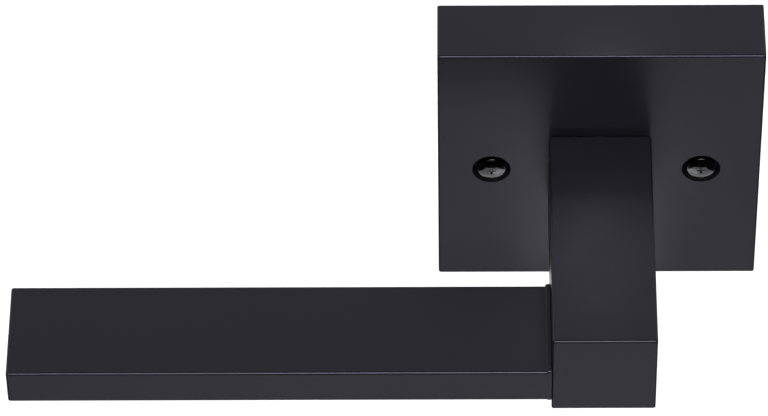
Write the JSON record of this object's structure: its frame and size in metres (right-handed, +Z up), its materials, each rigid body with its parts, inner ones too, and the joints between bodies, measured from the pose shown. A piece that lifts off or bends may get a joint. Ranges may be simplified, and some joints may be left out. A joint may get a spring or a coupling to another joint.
{
  "type": "door lever handle",
  "caption": "Square rose with a square neck and flat bar lever, sprung both ways, with through-bolts and a square spindle, for one side of a tubular latch.",
  "frame": {"origin": "where the spindle axis meets the face that lies on the door", "axes": "+Y into the door along the spindle axis, +Z up, the grip points along -X"},
  "size_m": [0.1493, 0.0929, 0.065],
  "materials": {
    "satin_black": "satin powder coat",
    "zinc_plate": "zinc plated sheet",
    "zinc_screw": "bright zinc plated",
    "nylon": "moulded black nylon",
    "bare_casting": "as cast",
    "spring_steel": "phosphated spring steel",
    "hardened_steel": "ground",
    "turned_steel": "turned",
    "zinc_spindle": "zinc plated drawn bar",
    "black_screw": "black plated"
  },
  "bodies": {
    "rose": {"rose_cover": "satin_black", "backplate": "zinc_plate", "backplate_screws": "zinc_screw", "bearing_bush": "nylon", "spring_housing": "bare_casting", "return_spring": "spring_steel", "stop_pins": "hardened_steel", "through_bolts": "black_screw", "bolt_keepers": "spring_steel"},
    "lever": {"neck": "satin_black", "grip": "satin_black", "grip_dowels": "hardened_steel", "shank": "turned_steel", "spring_driver": "zinc_plate", "thrust_washer": "hardened_steel", "wave_washer": "spring_steel", "retaining_ring": "spring_steel", "spindle": "zinc_spindle", "spindle_set_screw": "black_screw"}
  },
  "joints": [
    {"name": "lever_turn", "type": "hinge", "parent": "rose", "child": "lever", "pos_m": [0, 0, 0], "axis": [0, 1, 0], "range_deg": [-50, 50], "stiffness_Nm_per_rad": 2.5, "springref_deg": 2.29, "deforming": ["return_spring"]}
  ]
}
